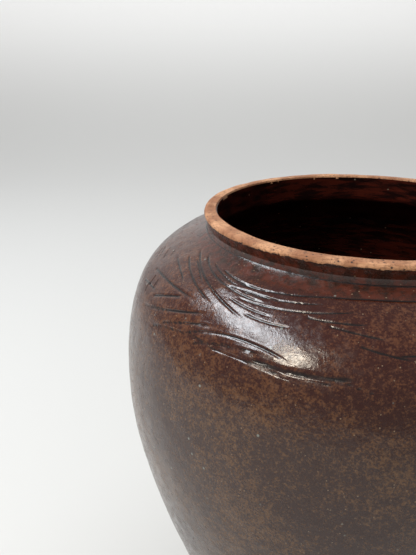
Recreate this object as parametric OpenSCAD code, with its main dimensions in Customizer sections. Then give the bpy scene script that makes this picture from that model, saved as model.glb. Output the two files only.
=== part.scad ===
// Brown-glazed stoneware storage jar with a wide mouth, a short collar and a bare clay lip.
// The wall is built up in sections that are luted face to face with slip, and then glazed
// inside and out. Every section is a solid of revolution about Z, and z = 0 is the floor.

/* [Body] */
// Radius of the foot, where the jar stands
foot_r = 100; // [90:1:120]
// Radius of the belly, the widest place
belly_r = 172; // [160:1:190]
// Height of the belly above the floor
belly_z = 238; // [200:1:280]
// How far inside the belly's radius the wall turns over into the shoulder
turn_in = 14.5; // [8:0.5:22]
// Rise from the belly to that turn
turn_rise = 67; // [55:1:80]
// Rise from the turn to the foot of the collar
neck_rise = 30; // [26:1:38]
// Slope of the wall at the foot, in degrees above level
foot_slope = 65; // [60:1:75]
// Slope of the wall at the turn
turn_slope = 58; // [50:1:65]
// Slope of the shoulder where it meets the collar
neck_slope = 16; // [10:1:24]

/* [Mouth] */
// Outer radius of the lip
mouth_r = 115; // [108:0.5:118]
// Width of the lip, from its outer edge to the bore of the mouth
lip_w = 9.2; // [8:0.1:12]
// Height of the lip ring that is luted on the collar
lip_h = 6; // [5:0.5:8]
// Height of the collar with its lip, above the shoulder's clay
collar_h = 15; // [13:0.5:24]
// How far the lip stands out past the collar
lip_overhang = 2; // [0.5:0.1:3]
// Rounding of the lip's outer edge
lip_round = 2.8; // [1:0.1:2.9]
// Rounding of the lip's inner edge
lip_round_in = 1.2; // [0.6:0.1:2]
// Height of bare clay down the outside of the lip
bare_lip = 3; // [3:0.1:4]
// Height of bare clay down the inside of the lip
bare_lip_in = 1.4; // [1.2:0.1:2]

/* [Neck band] */
// Width of the band of clay that is smoothed over the foot of the collar
band_w = 7.6; // [5:0.2:9]
// Height of the band where it meets the collar
band_h = 2.2; // [1.6:0.1:3]
// Step down from the band's outer edge to the shoulder
band_step = 0.6; // [0.4:0.1:0.9]

/* [Walls] */
// Thickness of the clay wall
wall_t = 7.4; // [6:0.1:9]
// Thickness of the clay base
base_t = 11; // [9:0.5:14]
// Width of the cove inside, where the wall is pressed down on the base
cove_w = 14; // [8:0.5:20]
// Radius of the shallow hollow under the base
hollow_r = 70; // [50:1:80]
// Depth of that hollow
hollow_d = 2; // [1:0.5:3]
// Rounding of the foot's edge
foot_round = 4; // [2:0.5:6]

/* [Belly seam] */
// Height of the seam above the belly's widest place
seam_rise = 4; // [2:1:10]
// Depth of the groove in the lower wall's rim, and of the ridge that sits in it
seam_v = 4; // [2:0.5:6]
// Thickness of the film of slip between two luted faces
slip_t = 0.1; // [0.05:0.05:0.2]

/* [Glaze] */
// Thickness of the outer glaze
glaze_t = 0.8; // [0.5:0.1:1.2]
// Thickness of the inner glaze
lining_t = 0.6; // [0.4:0.1:1]
// Height above the floor where the outer glaze stops
glaze_stop = 18; // [14:1:40]
// How far the rolled lower edge of the glaze stands out past the rest of it
glaze_roll = 0.5; // [0.2:0.1:1]
// Pitch of the throwing rings on the lining
ring_pitch = 15; // [10:1:25]
// Depth of the throwing rings
ring_d = 0.5; // [0.2:0.1:1]

/* [Hidden] */
facets = 120;

// Points on each free curve, and on each small rounding
curve_n = 18;
round_n = 6;
// Reach of a curve's two handles, as shares of the straight line between its ends
foot_reach = [0.29, 0.31];
belly_reach = [0.25, 0.30];
shoulder_reach = [0.34, 0.34];
// Gap between a coat of glaze and the clay under it
fuse = 0.05;
// Points of an outline that are nearer than this to a cut are left out
near = 0.05;
// Height over which the glaze's rolled lower edge dies away, and where it is thickest
roll_h = 9;
roll_peak = 2.5;
// Rise of the cove's toe, so that the wall's inner edge is not a feather
toe_rise = 2.4;
// Reach of the rounding under the mouth, where the shoulder turns up into the collar
throat_round = 5;
// Height of the swelling from the collar out to the lip
swell_h = 3.4;

// Heights, from the floor up
turn_z = belly_z + turn_rise;
neck_z = turn_z + neck_rise;
jar_h = neck_z + collar_h;
seam_z = belly_z + seam_rise;
lip_seat_z = jar_h - lip_h;
lip_glaze_z = jar_h - bare_lip;
lining_top_z = jar_h - bare_lip_in;
crease_z = neck_z + band_h;

// Radii at the mouth. The bore is the glazed inner wall of the collar.
bore_r = mouth_r - lip_w;
collar_r = mouth_r - lip_overhang;
clay_bore_r = bore_r + lining_t + fuse;
band_r = collar_r + band_w;

// Depths below the finished surface
back_d = glaze_t;
clay_d = glaze_t + fuse;
cavity_d = clay_d + wall_t;

function heading(slope) = [cos(slope), sin(slope)];

// A cubic curve from a to b that leaves a along u and arrives at b along v
function sweep(a, u, b, v, reach) =
    let (span = norm(b - a), p = a + u * span * reach[0], q = b - v * span * reach[1])
    [for (i = [0 : curve_n]) let (t = i / curve_n, s = 1 - t)
        s*s*s*a + 3*s*s*t*p + 3*s*t*t*q + t*t*t*b];

// A rounded corner from a to b, pulled towards the corner point c
function corner(a, c, b) =
    [for (i = [0 : round_n]) let (t = i / round_n, s = 1 - t) s*s*a + 2*s*t*c + t*t*b];

function arc(centre, r, from, to) =
    [for (i = [0 : round_n]) let (a = from + (to - from) * i / round_n)
        centre + r * [cos(a), sin(a)]];

function tail(list) = [for (i = [1 : len(list) - 1]) list[i]];
function flip(list) = [for (i = [len(list) - 1 : -1 : 0]) list[i]];
function lift(list, d) = [for (p = list) p + [0, d]];

// A rising outline moved into the clay by a depth, square to the surface
function inset(list, d) =
    let (last = len(list) - 1)
    [for (i = [0 : last])
        let (run = list[min(i + 1, last)] - list[max(i - 1, 0)])
        list[i] - d * [run[1], -run[0]] / norm(run)];

// Radius of a rising outline at a height, and height of its shoulder at a radius
function r_at(list, z) = lookup(z, [for (p = list) [p[1], p[0]]]);
function z_at(list, r) = lookup(r, [for (p = list) if (p[1] > turn_z - cavity_d) p]);

// The stretch of a rising outline between two heights
function between(list, low, high) = concat(
    [[r_at(list, low), low]],
    [for (p = list) if (p[1] > low + near && p[1] < high - near) p],
    [[r_at(list, high), high]]
);

// The body's finished outline, from the foot over the belly and the turn to the collar,
// and on along the same slope under the collar's seat
foot_p = [foot_r, 0];
belly_p = [belly_r, belly_z];
turn_p = [belly_r - turn_in, turn_z];
neck_p = [collar_r, neck_z];
up = [0, 1];
turn_dir = [-cos(turn_slope), sin(turn_slope)];
neck_dir = [-cos(neck_slope), sin(neck_slope)];
body_line = concat(
    sweep(foot_p, heading(foot_slope), belly_p, up, foot_reach),
    tail(sweep(belly_p, up, turn_p, turn_dir, belly_reach)),
    tail(sweep(turn_p, turn_dir, neck_p, neck_dir, shoulder_reach)),
    [neck_p + neck_dir * 2 * lip_w]
);

// The finished outline that shows: the body, the neck band, the collar and the lip's swelling
band_z = z_at(body_line, band_r);
skin_line = concat(
    [for (p = body_line) if (p[1] < band_z - near) p],
    [[band_r, band_z]],
    corner([band_r - band_step / 2, band_z + band_step], [band_r - band_w / 2, crease_z],
        [collar_r, crease_z]),
    [[collar_r, lip_glaze_z - swell_h]],
    tail(corner([collar_r, lip_glaze_z - swell_h], [collar_r, lip_glaze_z - swell_h / 2],
        [mouth_r, lip_glaze_z]))
);

body_clay = inset(body_line, clay_d);
skin_clay = inset(skin_line, clay_d);
skin_back = inset(skin_line, back_d);
cavity_line = inset(body_line, cavity_d);
collar_clay_r = collar_r - clay_d;

// The cavity's surface at a depth into the hollow: floor, cove, wall, throat and mouth.
// Depth 0 is the bare clay.
function cavity(d) =
    let (
        wall = inset(cavity_line, d),
        floor_z = base_t + d,
        foot_in = r_at(wall, floor_z),
        bore = clay_bore_r - d,
        under_z = z_at(wall, bore + throat_round),
        corner_z = z_at(wall, bore)
    )
    concat(
        corner([foot_in - cove_w, floor_z], [foot_in - cove_w / 3, floor_z + toe_rise],
            [r_at(wall, floor_z + cove_w), floor_z + cove_w]),
        [for (p = wall) if (p[1] > floor_z + cove_w + 1 && p[1] < under_z - 1) p],
        corner([bore + throat_round, under_z], [bore, corner_z], [bore, corner_z + throat_round])
    );

cavity_clay = cavity(0);

// The lining's face, with the throwing rings on the wall between the cove and the turn
function ring(z) = ring_d * (1 - cos(360 * z / ring_pitch)) / 2;
function ringed(list) =
    let (
        low = base_t + cove_w + ring_pitch,
        count = floor((turn_z - low) / ring_pitch),
        step = ring_pitch / 8
    )
    concat(
        [for (p = list) if (p[1] < low - step / 2) p],
        [for (i = [0 : 8 * count]) let (z = low + i * step) [r_at(list, z) - ring(z - low), z]],
        [for (p = list) if (p[1] > low + (8 * count + 0.5) * step) p]
    );

module turned(outline) {
    rotate_extrude($fn = facets) polygon(outline);
}

// Flat clay disc that the jar stands on, with a shallow hollow underneath
module base_slab() {
    edge = between(body_clay, foot_round, base_t);
    edge_r = r_at(body_clay, 0);
    color("#a9744f") turned(concat(
        [[0, hollow_d], [hollow_r / 2, hollow_d], [hollow_r, 0]],
        corner([edge_r - foot_round, 0], [edge_r, 0], edge[0]),
        tail(edge),
        [[0, base_t]]
    ));
}

// Lower half of the wall: stands on the base, and its rim is grooved for the upper half
module lower_wall() {
    outer = between(body_clay, base_t + slip_t, seam_z);
    inner = between(cavity_clay, base_t + slip_t, seam_z);
    groove = (outer[len(outer) - 1] + inner[len(inner) - 1]) / 2 - [0, seam_v];
    color("#9c6a4a") turned(concat(outer, [groove], flip(inner)));
}

// Upper half of the wall: its ridge sits in the groove below, and it turns over to the neck
module upper_wall() {
    low_z = seam_z + slip_t;
    outer = between(body_clay, low_z, z_at(body_clay, clay_bore_r));
    inner = concat(
        [[r_at(cavity_clay, low_z), low_z]],
        [for (p = cavity_clay) if (p[1] > low_z + near) p]
    );
    ridge = (outer[0] + inner[0]) / 2 - [0, seam_v];
    color("#b07a55") turned(concat([ridge], outer, flip(inner)));
}

// Band of soft clay pressed into the angle between collar and shoulder, and smoothed
module neck_band() {
    face = between(skin_clay, band_z + band_step - clay_d, crease_z - clay_d);
    top_z = crease_z - clay_d;
    inner_r = collar_clay_r + slip_t;
    seat = [for (p = body_clay) if (p[1] > turn_z && p[0] > inner_r && p[0] < face[0][0]) p];
    color("#b9855e") turned(concat(
        [for (p = face) if (p[0] > inner_r) p],
        [[inner_r, top_z], [inner_r, z_at(body_clay, inner_r) + slip_t]],
        lift(flip(seat), slip_t),
        [[face[0][0], z_at(body_clay, face[0][0]) + slip_t]]
    ));
}

// Short upright collar, bevelled underneath to sit on the sloping shoulder
module collar() {
    top_z = lip_seat_z;
    color("#a5704c") turned([
        [clay_bore_r, z_at(body_clay, clay_bore_r) + slip_t],
        [collar_clay_r, z_at(body_clay, collar_clay_r) + slip_t],
        [collar_clay_r, top_z],
        [clay_bore_r, top_z]
    ]);
}

// Lip that is luted on the collar: bare clay on top, glazed below its outer and inner edges
module lip_ring() {
    seat_z = lip_seat_z + slip_t;
    color("#c58c5c") turned(concat(
        [[clay_bore_r, seat_z]],
        between(skin_clay, seat_z, lip_glaze_z),
        [[mouth_r, lip_glaze_z]],
        arc([mouth_r - lip_round, jar_h - lip_round], lip_round, 0, 90),
        arc([bore_r + lip_round_in, jar_h - lip_round_in], lip_round_in, 90, 180),
        [[bore_r, lining_top_z], [clay_bore_r, lining_top_z]]
    ));
}

// Outer glaze: from the rolled edge above the foot, over band and collar, to the lip
module outer_glaze() {
    function roll(z) = let (t = z - glaze_stop)
        t > roll_h ? 0 : glaze_roll * min(t / roll_peak, (roll_h - t) / (roll_h - roll_peak));
    top_z = lip_glaze_z - fuse;
    edge_z = [for (i = [0 : round_n]) glaze_stop + roll_h * i / round_n];
    face = concat(
        [for (z = edge_z) [r_at(skin_line, z) + roll(z), z]],
        tail(between(skin_line, glaze_stop + roll_h, top_z))
    );
    back = between(skin_back, glaze_stop, top_z);
    color("#4b2a1f") turned(concat(tail(face), flip(back)));
}

// Inner glaze: lines the floor, the wall and the throat, and stops just inside the lip
module inner_glaze() {
    back = cavity(fuse);
    face = ringed(cavity(fuse + lining_t));
    top_z = lining_top_z - fuse;
    color("#3a1a14") turned(concat(
        [[0, base_t + fuse]],
        back,
        [[clay_bore_r - fuse, top_z], [bore_r, top_z]],
        flip(face),
        [[0, base_t + fuse + lining_t]]
    ));
}

base_slab();
lower_wall();
upper_wall();
neck_band();
collar();
lip_ring();
outer_glaze();
inner_glaze();
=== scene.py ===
"""A brown-glazed stoneware storage jar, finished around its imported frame.

Lengths are metres. An angle on the jar starts at the front, which is -Y, and grows towards +X:
degrees in the tables, radians in the arrays. A place on the outside is such an angle with a run,
the distance along the finished outline from the foot up, or with a drop, the distance in
millimetres down from the foot of the neck band.
"""

import math

import bmesh
import bpy
import numpy as np
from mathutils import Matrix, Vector


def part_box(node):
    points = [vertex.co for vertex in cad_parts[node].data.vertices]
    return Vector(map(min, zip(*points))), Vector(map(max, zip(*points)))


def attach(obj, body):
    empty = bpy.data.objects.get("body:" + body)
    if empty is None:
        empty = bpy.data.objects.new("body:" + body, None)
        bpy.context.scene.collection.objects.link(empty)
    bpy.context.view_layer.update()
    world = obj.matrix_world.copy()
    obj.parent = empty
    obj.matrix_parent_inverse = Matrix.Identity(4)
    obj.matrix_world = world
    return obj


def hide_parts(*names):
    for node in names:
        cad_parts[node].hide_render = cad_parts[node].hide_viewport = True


MM = 0.001

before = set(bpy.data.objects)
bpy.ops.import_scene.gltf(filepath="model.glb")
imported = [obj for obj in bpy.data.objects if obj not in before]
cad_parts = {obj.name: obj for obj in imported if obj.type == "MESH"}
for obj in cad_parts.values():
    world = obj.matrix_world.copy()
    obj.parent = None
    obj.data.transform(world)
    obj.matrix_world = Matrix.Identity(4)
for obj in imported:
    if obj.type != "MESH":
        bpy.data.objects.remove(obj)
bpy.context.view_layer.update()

# Sizes of the finished jar. The first five are read from the frame.
JAR_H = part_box("lip_ring")[1].z
MOUTH_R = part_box("lip_ring")[1].x
BELLY_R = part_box("outer_glaze")[1].x
GLAZE_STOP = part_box("outer_glaze")[0].z
GLAZE_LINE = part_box("outer_glaze")[1].z
FOOT_R = 100 * MM
BELLY_Z = 238 * MM
TURN_R = BELLY_R - 14.5 * MM
TURN_Z = 305 * MM
NECK_Z = 335 * MM
COLLAR_R = MOUTH_R - 2 * MM
LIP_W = 9.2 * MM
BAND_W = 7.6 * MM
BAND_H = 2.2 * MM
FOOT_SLOPE = 65
TURN_SLOPE = 58
NECK_SLOPE = 16

# How far the cove's curve is pulled in from the collar and down from the crease
COVE_PULL = (1.6 * MM, 1.5 * MM)
# The glaze's swelling under the lip, and how far it stands back from the lip's outside
SWELL_H = 3.4 * MM
LIP_STEP = 0.1 * MM
# Half the length over which the outline's slope is read
SLOPE_REACH = 0.3 * MM


def blend_steps(x, low, high):
    """0 below low, 1 above high, and a smooth rise between."""
    t = np.clip((x - low) / (high - low), 0, 1)
    return t * t * (3 - 2 * t)


def slope(degrees):
    """The way of a line that rises at this many degrees, as radius and height."""
    return np.array([math.cos(math.radians(degrees)), math.sin(math.radians(degrees))])


def sweep(a, u, b, v, reach, count=60):
    """A cubic curve from a to b that leaves along u and arrives along v."""
    a, b, u, v = (np.asarray(p, float) for p in (a, b, u, v))
    span = np.linalg.norm(b - a)
    p = a + u * span * reach[0]
    q = b - v * span * reach[1]
    t = np.linspace(0, 1, count)[:, None]
    s = 1 - t
    return s**3 * a + 3 * s * s * t * p + 3 * s * t * t * q + t**3 * b


def corner(a, c, b, count=16):
    """A rounded corner from a to b, pulled towards c."""
    a, c, b = (np.asarray(p, float) for p in (a, c, b))
    t = np.linspace(0, 1, count)[:, None]
    return (1 - t) ** 2 * a + 2 * (1 - t) * t * c + t * t * b


class Outline:
    """A turned outline, as radius and height by the run along it."""

    def __init__(self, points):
        points = np.asarray(points, float)
        keep = np.r_[True, np.linalg.norm(np.diff(points, axis=0), axis=1) > 1e-7]
        self.p = points[keep]
        step = np.diff(self.p, axis=0)
        self.run = np.r_[0, np.cumsum(np.linalg.norm(step, axis=1))]
        self.length = self.run[-1]

    def at(self, run, out=0.0):
        """Radius and height at a run, moved out along the surface normal."""
        r, z = (np.interp(run, self.run, side) for side in self.p.T)
        above, below = run + SLOPE_REACH, run - SLOPE_REACH
        dr, dz = (np.interp(above, self.run, side) - np.interp(below, self.run, side)
                  for side in self.p.T)
        size = np.hypot(dr, dz)
        return r + out * dz / size, z - out * dr / size

    def run_at(self, z):
        """The run at a height, for an outline that only rises."""
        return float(np.interp(z, self.p[:, 1], self.run))

    def place(self, angle, run, out=0.0):
        """Points on the jar, from angles in radians and runs."""
        r, z = self.at(run, out)
        return np.stack([r * np.sin(angle), -r * np.cos(angle), z], axis=-1)


# The finished outside, from the foot up to the crease under the collar
body_curve = np.vstack([
    sweep([FOOT_R, 0], slope(FOOT_SLOPE), [BELLY_R, BELLY_Z], [0, 1], (0.29, 0.31)),
    sweep([BELLY_R, BELLY_Z], [0, 1], [TURN_R, TURN_Z], slope(180 - TURN_SLOPE), (0.25, 0.30)),
    sweep([TURN_R, TURN_Z], slope(180 - TURN_SLOPE), [COLLAR_R, NECK_Z],
          slope(180 - NECK_SLOPE), (0.34, 0.34)),
])
band_r = COLLAR_R + BAND_W
toe = body_curve[body_curve[:, 0] >= band_r][-1]
body_curve = body_curve[: np.argmin(np.abs(body_curve - toe).sum(1)) + 1]
CREASE_Z = NECK_Z + BAND_H
outside = Outline(np.vstack([
    body_curve,
    corner(toe, [COLLAR_R + COVE_PULL[0], CREASE_Z - COVE_PULL[1]], [COLLAR_R, CREASE_Z]),
]))
BAND_RUN = outside.run_at(toe[1])
CREASE_RUN = outside.length

# The collar's glaze, from the crease up to its edge under the lip
swell_z = GLAZE_LINE - SWELL_H
collar_line = Outline(np.vstack([
    [[COLLAR_R, CREASE_Z - 0.4 * MM]],
    corner([COLLAR_R - 0.3 * MM, CREASE_Z + 2 * MM], [COLLAR_R - 0.4 * MM, swell_z],
           [COLLAR_R, swell_z + 1 * MM]),
    corner([COLLAR_R, swell_z + 1 * MM], [COLLAR_R, GLAZE_LINE - 1.6 * MM],
           [MOUTH_R - LIP_STEP, GLAZE_LINE + 0.4 * MM]),
]))


def waves(p, length, seed, count=14):
    """Smooth random relief about 1 high, with bumps about this long."""
    draw = np.random.RandomState(seed)
    total = np.zeros(len(p))
    for _ in range(count):
        way = draw.normal(size=3)
        way *= 2 * math.pi / (length * draw.uniform(0.7, 1.5) * np.linalg.norm(way))
        total += np.sin(p @ way + draw.uniform(0, 2 * math.pi))
    return total / math.sqrt(count / 2)


# The combed strokes that the potter drew from the neck out over the shoulder: start, middle
# and end, each an angle in degrees and a drop in millimetres, then depth and half width
STROKES = [
    ((-71, 46), (-64, 38), (-59, 33), 0.60, 0.80),
    ((-80, 34), (-70, 31.5), (-54, 30.5), 0.65, 0.90),
    ((-74, 56), (-61, 45), (-48, 33.5), 0.65, 0.90),
    ((-62, 55), (-53, 45), (-45, 39.5), 0.62, 0.80),
    ((-53, 51), (-40, 41), (-26, 46), 0.60, 0.75),
    ((-50, 55), (-41, 47), (-31, 46), 0.62, 0.80),
    ((-77, 16.5), (-68, 21), (-63, 25), 0.50, 0.70),
    ((-73, 9.5), (-62, 19), (-49, 28.5), 0.60, 0.75),
    ((-73, 1), (-56, 16.5), (-38, 30.5), 0.62, 0.75),
    ((-67, 0), (-53, 12), (-34, 17), 0.55, 0.75),
    ((-55, 4), (-46, 7.5), (-37, 8), 0.50, 0.80),
    ((-49, 13), (-41, 12), (-33, 12.5), 0.48, 0.60),
    ((-46, 20), (-40, 22.5), (-33, 23.5), 0.45, 0.60),
    ((-45, 13.5), (-33, 12), (-21, 8), 0.50, 0.60),
    ((-44, 18), (-29, 17), (-13, 10), 0.52, 0.65),
    ((-26, 19), (-19, 19.5), (-11, 18.5), 0.50, 0.65),
    ((-21, 22), (-14, 24.5), (-8, 27), 0.50, 0.60),
    ((-14, 31), (-8.5, 34.5), (-3, 37), 0.50, 0.65),
    ((-6, 35), (-4, 34.5), (-1, 34), 0.45, 0.60),
    ((-47, 9), (-39, 8), (-30, 6), 0.45, 0.60),
    ((-35, 49), (-24, 50.5), (-12, 48), 0.75, 1.35),
    ((-23, 53), (-18, 52.5), (-13, 50), 0.35, 0.60),
    ((-14, 52.5), (-11.5, 54), (-9.5, 56), 0.40, 0.60),
    ((-92, 28), (-90, 30), (-87, 34), 0.40, 0.55),
    ((-91, 24.5), (-88, 27), (-85, 30.5), 0.42, 0.55),
    ((-87, 19.5), (-84.5, 23), (-81.5, 27), 0.42, 0.55),
    ((-82, 16.5), (-81, 19), (-79.5, 21), 0.40, 0.55),
    ((-77, 42), (-76.5, 46), (-76, 51), 0.40, 0.55),
    ((-76, 35.5), (-76, 40), (-76, 45), 0.42, 0.55),
    ((-73, 36), (-73, 39), (-73, 43), 0.40, 0.55),
    ((-83, 47), (-77, 43.5), (-70, 42), 0.50, 0.75),
    ((-66, 61), (-55, 52), (-44, 50), 0.55, 0.80),
    ((-46, 52), (-36, 51), (-24, 55), 0.60, 0.80),
    ((-68, 8), (-62, 13), (-57, 19), 0.45, 0.60),
    ((-60, 3), (-53, 8), (-45, 11.5), 0.50, 0.65),
    ((-40, 26), (-34, 27.5), (-28, 27), 0.40, 0.60),
]


def stroke_path(start, middle, end, count=14):
    """Points of one stroke, through its middle, as angles in radians and runs."""
    a, m, b = (np.array(p, float) for p in (start, middle, end))
    path = corner(a, 2 * m - (a + b) / 2, b, count)
    return np.stack([np.radians(path[:, 0]), BAND_RUN - path[:, 1] * MM], axis=1)


# The motif that comes again on the other three quarters, its first strokes, and the angle past
# which a stroke would run into the front
MOTIF_TURNS = (90, 180, 270)
MOTIF = STROKES[:23]
MOTIF_END = 262
MOTIF_SEED = 7


def all_strokes():
    """The strokes of the front, and the same motif drawn again round the rest of the shoulder."""
    found = [(stroke_path(*s[:3]), s[3] * MM, s[4] * MM) for s in STROKES]
    draw = np.random.RandomState(MOTIF_SEED)
    for turn in MOTIF_TURNS:
        for start, middle, end, depth, half in MOTIF:
            if start[0] + turn > MOTIF_END:
                continue
            shift = np.array([turn + draw.uniform(-3, 3), draw.uniform(-3, 3)])
            ends = [np.array(p) + shift + draw.uniform(-1.5, 1.5, 2) for p in (start, middle, end)]
            found.append((stroke_path(*ends), depth * MM * draw.uniform(0.7, 1.1), half * MM))
    return found


# The neck band's lower line, round the jar: angles, drops and depths in millimetres
BAND_EDGE_ANGLES = (-100, -58, -46, -38, -31, -22, -12, 20, 90, 150, 210, 260)
BAND_EDGE_DROPS = (3.0, 7.0, 8.6, 8.0, 6.2, 2.8, 1.0, 0.6, 2.0, 4.0, 1.5, 3.0)
BAND_EDGE_DEPTHS = (0.0, 0.05, 0.25, 0.42, 0.45, 0.42, 0.42, 0.40, 0.30, 0.22, 0.30, 0.0)
BAND_EDGE_HALF = 0.8
# Half the width of the painted shade in the crease under the collar
CREASE_HALF = 1.1 * MM
# A stroke's reach and its thrown-up burr, in half widths and as a share of the depth
STROKE_REACH = 5
BURR_PLACE = 1.7
BURR_HALF = 0.8
BURR_H = 0.24
# How much of a stroke's length it takes to sink in and to run out
SINK_IN = (-0.02, 0.10)
RUN_OUT = (-0.02, 0.20)
# The deepest cut that the glaze takes, and the relief past which the band's line stays off
DEEPEST = 0.70 * MM
LINE_OFF = 0.1 * MM


def band_edge(angle, run):
    """The line where the smoothed neck band ends, and the crease above it: a mask of glaze pooled in
    the line and of painted shade in the crease, and the line's depth.
    """
    first = BAND_EDGE_ANGLES[0]
    degrees = (np.degrees(angle) - first) % 360 + first
    drop = (BAND_RUN - run) / MM
    edge = np.interp(degrees, BAND_EDGE_ANGLES, BAND_EDGE_DROPS)
    depth = np.interp(degrees, BAND_EDGE_ANGLES, BAND_EDGE_DEPTHS)
    cut = np.exp(-((drop - edge) / BAND_EDGE_HALF) ** 2)
    # Painted shade: the colour darkens in the crease, which the geometry already bends in
    painted_crease_shade = np.exp(-((CREASE_RUN - run) / CREASE_HALF) ** 2)
    return np.maximum(cut * np.minimum(2 * depth, 1), 0.9 * painted_crease_shade), depth * cut * MM


def nearest_on(path, x, y, r, middle):
    """Each place's distance to a stroke, the side it lies on and how far along the stroke."""
    best = np.full(len(x), 1e9)
    side = np.zeros(len(x))
    along = np.zeros(len(x))
    for i in range(len(path) - 1):
        ax = (path[i, 0] - middle) * r
        bx = (path[i + 1, 0] - middle) * r
        ay, by = path[i, 1], path[i + 1, 1]
        ux, uy = bx - ax, by - ay
        t = np.clip(((x - ax) * ux + (y - ay) * uy) / (ux * ux + uy * uy), 0, 1)
        dx, dy = x - ax - t * ux, y - ay - t * uy
        d = np.hypot(dx, dy)
        closer = d < best
        best = np.where(closer, d, best)
        side = np.where(closer, np.sign(ux * dy - uy * dx), side)
        along = np.where(closer, (i + t) / (len(path) - 1), along)
    return best, side, along


def carve(angle, run):
    """The strokes' relief at each place, and how far each place lies in a groove, where the glaze
    pools darker, or in the crease under the collar, where painted shade darkens it.
    """
    relief = np.zeros(len(angle))
    groove = np.zeros(len(angle))
    radius = outside.at(run)[0]
    for path, depth, half in all_strokes():
        reach = STROKE_REACH * half
        middle = (path[:, 0].min() + path[:, 0].max()) / 2
        gap = (angle - middle + math.pi) % (2 * math.pi) - math.pi
        spread = np.ptp(path[:, 0]) / 2 + reach / COLLAR_R
        near = np.nonzero((np.abs(gap) < spread) & (run > path[:, 1].min() - reach)
                          & (run < path[:, 1].max() + reach))[0]
        if not len(near):
            continue
        r = radius[near]
        best, side, along = nearest_on(path, gap[near] * r, run[near], r, middle)
        fade = blend_steps(along, *SINK_IN) * blend_steps(1 - along, *RUN_OUT)
        fade *= 0.88 + 0.12 * np.sin(along * 19 + depth * 9e4)
        cut = np.exp(-(best / half) ** 2) * fade
        burr = np.exp(-((best - BURR_PLACE * half) / (BURR_HALF * half)) ** 2) * fade * (side > 0)
        relief[near] += BURR_H * depth * burr - depth * cut
        groove[near] = np.maximum(groove[near], cut)
    # The band's line, where glaze pools, and the crease, whose darkening is painted shade
    band_line_and_crease_shade, seam_depth = band_edge(angle, run)
    relief = np.maximum(relief, -DEEPEST) - seam_depth * (relief > -LINE_OFF)
    return relief, np.maximum(groove, band_line_and_crease_shade)


def deselect_all():
    """Leaves edit mode and selects nothing."""
    if bpy.context.mode != "OBJECT":
        bpy.ops.object.mode_set(mode="OBJECT")
    bpy.ops.object.select_all(action="DESELECT")


# Edges that bend more than this many degrees stay sharp
SHARP_ANGLE = 50


def turn_shell(name, outer, inner, steps, start=0.0, sweep_by=360.0):
    """A closed shell turned about Z: a drawn outline and its back, extruded point by point and
    spun. Each point of the front keeps its run in the attribute "run", and the back has -1."""
    loop = list(outer) + [(-1.0, r, z) for r, z in inner[::-1]]
    turn = math.radians(start)
    at = [Vector((r * math.sin(turn), -r * math.cos(turn), z)) for _, r, z in loop]
    deselect_all()
    bpy.ops.mesh.primitive_plane_add(size=1 * MM, location=at[0])
    piece = bpy.context.object
    piece.name = name
    piece.data.name = name
    bpy.ops.object.transform_apply(location=True)
    bpy.ops.object.mode_set(mode="EDIT")
    bpy.ops.mesh.select_all(action="SELECT")
    bpy.ops.mesh.merge(type="CENTER")
    for here, there in zip(at, at[1:]):
        bpy.ops.mesh.extrude_vertices_move(TRANSFORM_OT_translate={"value": there - here})
    bm = bmesh.from_edit_mesh(piece.data)
    bm.verts.ensure_lookup_table()
    layer = bm.verts.layers.float.new("run")
    for vert, (run, _, _) in zip(bm.verts, loop):
        vert[layer] = run
        vert.select = vert.index in (0, len(loop) - 1)
    bm.select_flush_mode()
    bmesh.update_edit_mesh(piece.data)
    bpy.ops.mesh.edge_face_add()
    bpy.ops.mesh.select_all(action="SELECT")
    bpy.ops.mesh.spin(steps=steps, angle=math.radians(sweep_by), center=(0, 0, 0), axis=(0, 0, -1))
    bpy.ops.mesh.select_all(action="SELECT")
    bpy.ops.mesh.remove_doubles(threshold=1e-6)
    if sweep_by < 360:
        bpy.ops.mesh.select_all(action="DESELECT")
        bpy.ops.mesh.select_mode(type="EDGE")
        bpy.ops.mesh.select_non_manifold()
        bpy.ops.mesh.edge_face_add()
        bpy.ops.mesh.select_mode(type="VERT")
    bpy.ops.mesh.select_all(action="SELECT")
    bpy.ops.mesh.normals_make_consistent(inside=False)
    bpy.ops.object.mode_set(mode="OBJECT")
    return piece


def refine_front(piece, cuts):
    """Cuts the faces of a shell's front, which have a run at every corner, into small ones."""
    bpy.context.view_layer.objects.active = piece
    bpy.ops.object.mode_set(mode="EDIT")
    bpy.ops.mesh.select_mode(type="FACE")
    bpy.ops.mesh.select_all(action="DESELECT")
    bm = bmesh.from_edit_mesh(piece.data)
    layer = bm.verts.layers.float["run"]
    for face in bm.faces:
        face.select = len(face.verts) == 4 and all(v[layer] >= 0 for v in face.verts)
    bmesh.update_edit_mesh(piece.data)
    bpy.ops.mesh.subdivide(number_cuts=cuts)
    bpy.ops.mesh.select_mode(type="VERT")
    bpy.ops.object.mode_set(mode="OBJECT")


def read_vectors(mesh):
    """A mesh's points."""
    p = np.empty(len(mesh.vertices) * 3, np.float32)
    mesh.vertices.foreach_get("co", p)
    return p.reshape(-1, 3).astype(float)


def read_runs(mesh):
    """The run of each point, or less than 0 on a shell's back."""
    run = np.empty(len(mesh.vertices), np.float32)
    mesh.attributes["run"].data.foreach_get("value", run)
    return run.astype(float)


def write_floats(mesh, name, values):
    """Stores one number at each point, for the materials."""
    layer = mesh.attributes.new(name, "FLOAT", "POINT")
    layer.data.foreach_set("value", np.asarray(values, np.float32))


def smooth(piece):
    """Shades a piece smooth, apart from its sharp edges."""
    deselect_all()
    piece.select_set(True)
    bpy.context.view_layer.objects.active = piece
    bpy.ops.object.shade_smooth_by_angle(angle=math.radians(SHARP_ANGLE))


def front_points(line, low, high, count):
    """Points of a shell's front, each with its run."""
    runs = np.linspace(low, high, count + 1)
    r, z = line.at(runs)
    return list(zip(runs, r, z))


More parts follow.
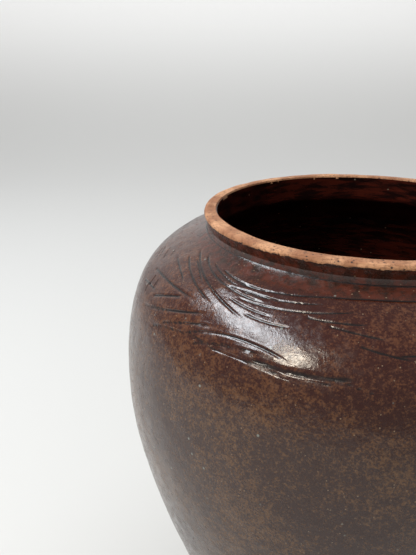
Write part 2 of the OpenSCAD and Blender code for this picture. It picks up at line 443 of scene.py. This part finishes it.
def back_points(line, low, high, count, depth):
    """Points of a shell's back, this deep under its front."""
    runs = np.linspace(low, high, count + 1)
    r, z = line.at(runs, -depth)
    return list(zip(r, z))


# Heights of the thrown surface's unevenness, and the step of its rings, a turn being 2 pi
BROAD_H = 0.16 * MM
LUMP_H = 0.06 * MM
RING_H = 0.03 * MM
RING_STEP = 2.3 * MM
# Where the band was smoothed, how far below it that starts to show, and how much it took away
SMOOTHED_BELOW = 10 * MM
SMOOTHED_SHARE = 0.85
# How far above the foot the glaze line's wandering reaches
DRIFT_REACH = 16 * MM


def body_relief(p):
    """The thrown and scraped surface: broad unevenness, small lumps and faint rings."""
    broad = waves(p, 70 * MM, 1)
    lumps = waves(p, 16 * MM, 2)
    wander = 0.6 * waves(p, 90 * MM, 3)
    rings = np.sin(p[:, 2] / RING_STEP + wander) * (0.4 + 0.3 * waves(p, 60 * MM, 4))
    return BROAD_H * broad + LUMP_H * lumps + RING_H * rings


def finish_front(piece, line, extra=None, drift=0.0):
    """Puts a shell's front on its true outline with the body's relief, and carves it. A drift
    lets the lower edge wander up and down, as the glaze line above a foot does."""
    mesh = piece.data
    p = read_vectors(mesh)
    run = read_runs(mesh)
    front = run >= 0
    angle = np.arctan2(p[:, 0], -p[:, 1])
    if drift:
        low = run[front].min()
        edge = 1 - blend_steps(run[front], low, low + DRIFT_REACH)
        run[front] += drift * edge * waves(p[front] * (1, 1, 0.2), 80 * MM, 9, 9)
    flat = line.place(angle[front], run[front])
    out = body_relief(flat)
    if line is outside:
        out *= 1 - SMOOTHED_SHARE * blend_steps(run[front], BAND_RUN - SMOOTHED_BELOW, BAND_RUN)
    groove = np.zeros(len(p))
    if extra:
        more, groove[front] = extra(angle[front], run[front])
        out = out + more
    p[front] = line.place(angle[front], run[front], out)
    mesh.vertices.foreach_set("co", p.astype(np.float32).ravel())
    # Darkening for the glaze's colour: glaze pooled in the strokes and lines, and painted shade in
    # the crease
    write_floats(mesh, "groove", groove)
    mesh.attributes.remove(mesh.attributes["run"])
    mesh.update()
    smooth(piece)
    return piece


def own(piece, material, slot, *nodes):
    """Gives a finished piece its material and its body, and hides the frame nodes that it stands
    for.
    """
    piece.data.materials.clear()
    piece.data.materials.append(material)
    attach(piece, "root")
    if nodes:
        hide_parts(*nodes)


class Shader:
    """A small helper that adds nodes to a material and links them."""

    def __init__(self, name):
        self.material = bpy.data.materials.new(name)
        self.material.use_nodes = True
        self.tree = self.material.node_tree
        self.surface = self.tree.nodes["Principled BSDF"]
        self.place = self.add("ShaderNodeTexCoord").outputs["Object"]

    def add(self, kind, **settings):
        node = self.tree.nodes.new(kind)
        for key, value in settings.items():
            setattr(node, key, value)
        return node

    def put(self, socket, value):
        """Links a socket to another, or sets it to a value."""
        if isinstance(value, bpy.types.NodeSocket):
            self.tree.links.new(value, socket)
        else:
            socket.default_value = value

    def noise(self, scale, detail=2.0, roughness=0.5, place=None):
        node = self.add("ShaderNodeTexNoise")
        self.put(node.inputs["Vector"], place or self.place)
        node.inputs["Scale"].default_value = scale
        node.inputs["Detail"].default_value = detail
        node.inputs["Roughness"].default_value = roughness
        return node.outputs["Fac"]

    def cells(self, scale):
        """The distance to the middle of the nearest of scattered cells."""
        node = self.add("ShaderNodeTexVoronoi")
        self.put(node.inputs["Vector"], self.place)
        node.inputs["Scale"].default_value = scale
        return node.outputs["Distance"]

    def math(self, operation, a, b):
        node = self.add("ShaderNodeMath", operation=operation)
        self.put(node.inputs[0], a)
        self.put(node.inputs[1], b)
        return node.outputs[0]

    def ramp(self, value, low, high, to_low=0.0, to_high=1.0):
        """Maps low..high to to_low..to_high with smooth ends."""
        node = self.add("ShaderNodeMapRange", interpolation_type="SMOOTHSTEP")
        self.put(node.inputs["Value"], value)
        for key, number in zip(("From Min", "From Max", "To Min", "To Max"),
                               (low, high, to_low, to_high)):
            self.put(node.inputs[key], number)
        return node.outputs[0]

    def dots(self, scale, radius, patches, chance):
        """Round dots: cells under the radius, kept only where a patchy noise is over the chance."""
        kept = self.ramp(self.noise(patches, 0.0), *chance)
        return self.math("MULTIPLY", self.ramp(self.cells(scale), *radius), kept)

    def mix(self, factor, a, b):
        """Colour a at factor 0 and colour b at factor 1."""
        node = self.add("ShaderNodeMix", data_type="RGBA")
        self.put(node.inputs["Factor"], factor)
        for socket, colour in zip(node.inputs[6:8], (a, b)):
            self.put(socket, (*colour, 1) if isinstance(colour, tuple) else colour)
        return node.outputs[2]

    def height(self):
        """The height above the foot."""
        node = self.add("ShaderNodeSeparateXYZ")
        self.put(node.inputs[0], self.place)
        return node.outputs[2]

    def attribute(self, name):
        return self.add("ShaderNodeAttribute", attribute_name=name).outputs["Fac"]

    def bump(self, height, distance, under=None):
        node = self.add("ShaderNodeBump")
        self.put(node.inputs["Height"], height)
        node.inputs["Distance"].default_value = distance
        if under is not None:
            self.put(node.inputs["Normal"], under)
        return node.outputs[0]


def srgb(red, green, blue):
    """A colour read on the 0 to 255 scale, as linear values."""
    def line(value):
        value /= 255
        return value / 12.92 if value <= 0.04045 else ((value + 0.055) / 1.055) ** 2.4
    return (line(red), line(green), line(blue))


def glaze_edge(s):
    """1 above the ragged line where the outer glaze ends under the lip."""
    ragged = s.math("MULTIPLY", s.math("SUBTRACT", s.noise(130, 3.0, 0.7), 0.5), 4.5 * MM)
    line = s.math("ADD", s.height(), ragged)
    return s.ramp(line, GLAZE_LINE - 0.4 * MM, GLAZE_LINE + 0.1 * MM)


def lip_colour(s):
    """Sandy clay with iron specks, open pits and toasted patches."""
    body = s.mix(s.ramp(s.noise(45, 3.0, 0.6), 0.38, 0.62), srgb(152, 102, 70), srgb(200, 150, 112))
    grain = s.ramp(s.noise(620, 3.0, 0.75), 0.48, 0.62)
    body = s.mix(s.math("MULTIPLY", grain, 0.6), body, srgb(112, 70, 46))
    spots = s.dots(330, (0.28, 0.16), 260, (0.44, 0.50))
    body = s.mix(spots, body, srgb(58, 38, 30))
    scorch = s.ramp(s.noise(90, 3.0, 0.7), 0.60, 0.70)
    return s.mix(s.math("MULTIPLY", scorch, 0.55), body, srgb(112, 72, 52))


def glaze_colour(s):
    """Red-brown finely mottled with ochre, near black in the strokes, with pale specks, and painted
    shade darkening the crease under the collar.
    """
    fine = s.noise(760, 3.0, 0.7)
    medium = s.noise(260, 3.0, 0.6)
    broad = s.noise(13, 3.0, 0.6)
    mottle = s.math("ADD", s.math("MULTIPLY", fine, 0.62), s.math("MULTIPLY", medium, 0.38))
    bias = s.math("ADD", mottle, s.math("MULTIPLY", s.math("SUBTRACT", broad, 0.5), 0.36))
    high = s.ramp(s.height(), 0.255, 0.318)
    red = s.mix(high, srgb(46, 23, 16), srgb(50, 17, 11))
    ochre = s.mix(high, srgb(94, 65, 38), srgb(92, 55, 35))
    colour = s.mix(s.ramp(bias, 0.455, 0.66), red, ochre)
    band = s.ramp(s.height(), NECK_Z - 4.5 * MM, NECK_Z - 2 * MM)
    streaks = s.ramp(s.noise(150, 4.0, 0.65), 0.36, 0.64)
    colour = s.mix(band, colour, s.mix(streaks, srgb(40, 21, 14), srgb(78, 33, 19)))
    speck = s.dots(95, (0.10, 0.05), 60, (0.50, 0.55))
    colour = s.mix(s.math("MULTIPLY", speck, 0.8), colour, srgb(124, 128, 122))
    pin = s.dots(270, (0.13, 0.07), 170, (0.50, 0.55))
    colour = s.mix(s.math("MULTIPLY", pin, 0.6), colour, srgb(150, 128, 104))
    # Near black where glaze pools in the strokes and the band's line, and painted shade in the
    # crease under the collar
    groove = s.ramp(s.attribute("groove"), 0.15, 0.75)
    return s.mix(groove, colour, srgb(20, 11, 12))


def outer_glaze_material():
    """Glossy iron glaze with a skin like orange peel, and a ragged edge under the lip."""
    s = Shader("outer_glaze")
    bare = glaze_edge(s)
    colour = s.mix(bare, glaze_colour(s), lip_colour(s))
    s.put(s.surface.inputs["Base Color"], colour)
    rough = s.ramp(s.noise(210, 3.0, 0.7), 0.3, 0.7, 0.15, 0.31)
    s.put(s.surface.inputs["Roughness"], s.ramp(bare, 0, 1, rough, 0.75))
    s.surface.inputs["IOR"].default_value = 1.56
    pits = s.dots(80, (0.09, 0.03), 50, (0.54, 0.58))
    pitted = s.bump(s.math("SUBTRACT", 1.0, pits), 0.5 * MM)
    peel = s.math("ADD", s.noise(330, 2.0, 0.6), s.math("MULTIPLY", s.noise(1000, 1.0), 0.3))
    s.put(s.surface.inputs["Normal"], s.bump(peel, 0.17 * MM, under=pitted))
    return s.material


def inner_glaze_material():
    """Dark iron glaze over the throwing rings, with a few pale specks."""
    s = Shader("inner_glaze")
    flat = s.add("ShaderNodeMapping")
    s.put(flat.inputs["Vector"], s.place)
    flat.inputs["Scale"].default_value = (1, 1, 5)
    mottle = s.noise(45, 4.0, 0.65, flat.outputs[0])
    colour = s.mix(s.ramp(mottle, 0.38, 0.65), srgb(22, 9, 8), srgb(66, 24, 16))
    speck = s.dots(110, (0.11, 0.05), 60, (0.52, 0.57))
    s.put(s.surface.inputs["Base Color"], s.mix(speck, colour, srgb(110, 96, 84)))
    s.surface.inputs["Roughness"].default_value = 0.2
    s.put(s.surface.inputs["Normal"], s.bump(s.noise(150, 2.0), 0.25 * MM))
    return s.material


def lip_material():
    """Bare clay down to the ragged edge of the glaze."""
    s = Shader("lip_clay")
    bare = glaze_edge(s)
    s.put(s.surface.inputs["Base Color"], s.mix(bare, srgb(46, 24, 16), lip_colour(s)))
    s.put(s.surface.inputs["Roughness"], s.ramp(bare, 0, 1, 0.25, 0.75))
    sand = s.math("ADD", s.noise(900, 3.0, 0.7), s.math("MULTIPLY", s.cells(330), 0.8))
    s.put(s.surface.inputs["Normal"], s.bump(sand, 0.3 * MM))
    return s.material


def clay_material(name, pale, dark, speckle):
    """Bare fired clay of the wall or the foot: sandy, with iron specks and open pits."""
    s = Shader(name)
    body = s.mix(s.ramp(s.noise(60, 3.0, 0.6), 0.35, 0.65), dark, pale)
    grain = s.ramp(s.noise(900, 2.0, 0.7), 0.55, 0.72)
    colour = s.mix(s.math("MULTIPLY", grain, 0.6), body, speckle)
    speck = s.dots(260, (0.20, 0.10), 220, (0.55, 0.6))
    s.put(s.surface.inputs["Base Color"], s.mix(speck, colour, srgb(52, 36, 28)))
    s.surface.inputs["Roughness"].default_value = 0.72
    s.put(s.surface.inputs["Normal"], s.bump(s.noise(800, 3.0, 0.7), 0.25 * MM))
    return s.material


outer_glaze = outer_glaze_material()
inner_glaze = inner_glaze_material()
lip_clay = lip_material()
wall_clay = clay_material("wall_clay", srgb(164, 112, 76), srgb(136, 90, 62), srgb(96, 64, 46))
foot_clay = clay_material("foot_clay", srgb(158, 104, 72), srgb(128, 84, 58), srgb(92, 60, 44))

# The combed shoulder starts this low. Its front, a finer shell than its back, starts at an angle
# and goes this far round.
SHOULDER_LOW = BAND_RUN - 62 * MM
FRONT_START = -100.0
FRONT_SWEEP = 135.0
SHELL_DEPTH = 0.7 * MM
COLLAR_DEPTH = 0.5 * MM
GLAZE_DRIFT = 1.3 * MM
FINE_CUTS = 7
LIP_CUTS = 6


def shoulder(name, start, sweep_by, steps, rows):
    """The combed shoulder, up to the crease under the collar."""
    piece = turn_shell(
        name,
        front_points(outside, SHOULDER_LOW, CREASE_RUN, rows),
        back_points(outside, SHOULDER_LOW, CREASE_RUN, rows, SHELL_DEPTH),
        steps, start, sweep_by,
    )
    refine_front(piece, FINE_CUTS)
    return finish_front(piece, outside, carve)


def body():
    """The plain lower body, from the glaze's edge above the foot up to the shoulder."""
    low = outside.run_at(GLAZE_STOP)
    piece = turn_shell(
        "glaze_body",
        front_points(outside, low, SHOULDER_LOW, 17),
        back_points(outside, low, SHOULDER_LOW, 17, SHELL_DEPTH),
        72,
    )
    refine_front(piece, FINE_CUTS)
    return finish_front(piece, outside, drift=GLAZE_DRIFT)


def collar():
    """The collar's coat of glaze, from the crease to the step under the lip."""
    piece = turn_shell(
        "glaze_collar",
        front_points(collar_line, 0, collar_line.length, 3),
        back_points(collar_line, 0, collar_line.length, 3, COLLAR_DEPTH),
        176,
    )
    refine_front(piece, FINE_CUTS)
    return finish_front(piece, collar_line)


def neck_band():
    """The clay band smoothed into the angle of collar and shoulder, just under the glaze."""
    low, depth = BAND_RUN - 1.5 * MM, SHELL_DEPTH + 0.1 * MM
    runs = np.linspace(low, CREASE_RUN, 4)
    r, z = outside.at(runs, -depth)
    piece = turn_shell("neck_band_clay", list(zip(runs, r, z)),
                       back_points(outside, low, CREASE_RUN, 2, depth + 1 * MM), 120)
    piece.data.attributes.remove(piece.data.attributes["run"])
    smooth(piece)
    return piece


LIP_TOP = JAR_H - 0.15 * MM


def lip():
    """The bare clay lip, flat on top, a little uneven from the potter's fingers."""
    outer_r, bore_r = MOUTH_R - LIP_STEP, MOUTH_R - LIP_W
    line = Outline(np.vstack([
        [[outer_r - 0.6 * MM, GLAZE_LINE - 1 * MM]],
        corner([outer_r, GLAZE_LINE], [outer_r, LIP_TOP], [outer_r - 2.6 * MM, LIP_TOP]),
        corner([bore_r + 1.4 * MM, LIP_TOP], [bore_r, LIP_TOP], [bore_r, LIP_TOP - 1.2 * MM]),
        [[bore_r, GLAZE_LINE]],
    ]))
    low, high = GLAZE_LINE - 1 * MM, LIP_TOP - 2.5 * MM
    back = [(outer_r - 2 * MM, low), (outer_r - 3 * MM, high), (bore_r + 2 * MM, high),
            (bore_r + 1.5 * MM, GLAZE_LINE)]
    piece = turn_shell("lip", front_points(line, 0, line.length, 4), back, 180)
    refine_front(piece, LIP_CUTS)
    return finish_front(piece, line)


shoulder_front = shoulder("glaze_shoulder_front", FRONT_START, FRONT_SWEEP, 84, 17)
shoulder_back = shoulder("glaze_shoulder_back", FRONT_START + FRONT_SWEEP, 360 - FRONT_SWEEP, 88, 11)
own(shoulder_front, outer_glaze, "outer_glaze", "outer_glaze")
own(shoulder_back, outer_glaze, "outer_glaze")
own(body(), outer_glaze, "outer_glaze")
own(collar(), outer_glaze, "outer_glaze")
own(lip(), lip_clay, "lip_clay", "lip_ring")
own(neck_band(), wall_clay, "wall_clay", "neck_band")

for node_name, finish in (("base_slab", foot_clay), ("lower_wall", wall_clay),
                          ("upper_wall", wall_clay), ("collar", wall_clay),
                          ("inner_glaze", inner_glaze)):
    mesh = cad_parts[node_name].data
    mesh.materials.clear()
    mesh.materials.append(finish)


# The photograph's camera: focal length and picture height in pixels, the film it is scaled to
# in millimetres, the pitch below level in degrees, and its place from the middle of the mouth
FOCAL_PIXELS = 620
PICTURE_PIXELS = 555
FILM = 36
PITCH = 21.6
CAMERA_FROM_MOUTH = (-0.112, -0.423, 0.115)


def camera():
    """The photograph's view: from the front left, a little above the mouth."""
    data = bpy.data.cameras.new("camera")
    data.lens = FOCAL_PIXELS / PICTURE_PIXELS * FILM
    data.sensor_width = FILM
    data.clip_start = 0.01
    cam = bpy.data.objects.new("camera", data)
    bpy.context.scene.collection.objects.link(cam)
    cam.location = Vector(CAMERA_FROM_MOUTH) + Vector((0, 0, JAR_H))
    cam.rotation_euler = (math.radians(90 - PITCH), 0, 0)
    bpy.context.scene.camera = cam


# The backdrop: its width, its front edge, the level run before the bend, the bend's radius, the
# whole length and the rows that it is cut into
SHEET_W = 9
SHEET_FRONT = -4
SHEET_LEVEL = 5.6
SHEET_BEND = 1.6
SHEET_LENGTH = 10.5
SHEET_ROWS = 80
LAMP_AIM = Vector((0, 0, 0.3))


def backdrop():
    """A pale sheet that curves up behind the jar and glows a little higher up."""
    deselect_all()
    bpy.ops.mesh.primitive_grid_add(x_subdivisions=2, y_subdivisions=SHEET_ROWS, size=SHEET_W)
    sheet = bpy.context.object
    sheet.name = "backdrop"
    for vert in sheet.data.vertices:
        run = (vert.co.y / SHEET_W + 0.5) * SHEET_LENGTH
        turn = min(max((run - SHEET_LEVEL) / SHEET_BEND, 0), math.pi / 2)
        rise = max(run - SHEET_LEVEL - SHEET_BEND * math.pi / 2, 0)
        vert.co.y = SHEET_FRONT + min(run, SHEET_LEVEL) + SHEET_BEND * math.sin(turn)
        vert.co.z = SHEET_BEND * (1 - math.cos(turn)) + rise
    s = Shader("backdrop")
    s.surface.inputs["Base Color"].default_value = (*srgb(206, 206, 205), 1)
    s.surface.inputs["Roughness"].default_value = 0.8
    s.surface.inputs["Emission Color"].default_value = (1, 1, 1, 1)
    s.put(s.surface.inputs["Emission Strength"], s.ramp(s.height(), 0.0, 0.7, 0.04, 0.46))
    sheet.data.materials.append(s.material)
    smooth(sheet)


def lamp(name, azimuth, height, distance, size, power, colour):
    """A soft box aimed at the shoulder, by its azimuth from +Y and height in degrees."""
    data = bpy.data.lights.new(name, "AREA")
    data.shape = "RECTANGLE"
    data.size, data.size_y = size
    data.energy = power
    data.color = colour
    obj = bpy.data.objects.new(name, data)
    bpy.context.scene.collection.objects.link(obj)
    turn, up = math.radians(azimuth), math.radians(height)
    way = Vector((math.sin(turn) * math.cos(up), math.cos(turn) * math.cos(up), math.sin(up)))
    obj.location = LAMP_AIM + way * distance
    obj.rotation_euler = (-way).to_track_quat("-Z", "Y").to_euler()
    return obj


def studio():
    """A long cool window at the left, its warmer lower end, and a soft fill from above."""
    backdrop()
    lamp("window", -92, 50, 2.0, (1.40, 0.50), 34, (0.90, 0.95, 1.0))
    lamp("window_low", -134, 39, 2.0, (0.42, 0.52), 17, (1.0, 0.91, 0.76))
    ceiling = lamp("ceiling", 30, 62, 2.6, (2.2, 2.2), 22, (1, 1, 1))
    ceiling.visible_glossy = False
    world = bpy.data.worlds.new("world")
    world.use_nodes = True
    sky = world.node_tree.nodes["Background"]
    sky.inputs["Color"].default_value = (0.94, 0.94, 0.93, 1)
    sky.inputs["Strength"].default_value = 0.34
    bpy.context.scene.world = world


camera()
studio()
bpy.context.scene.view_settings.view_transform = "Standard"
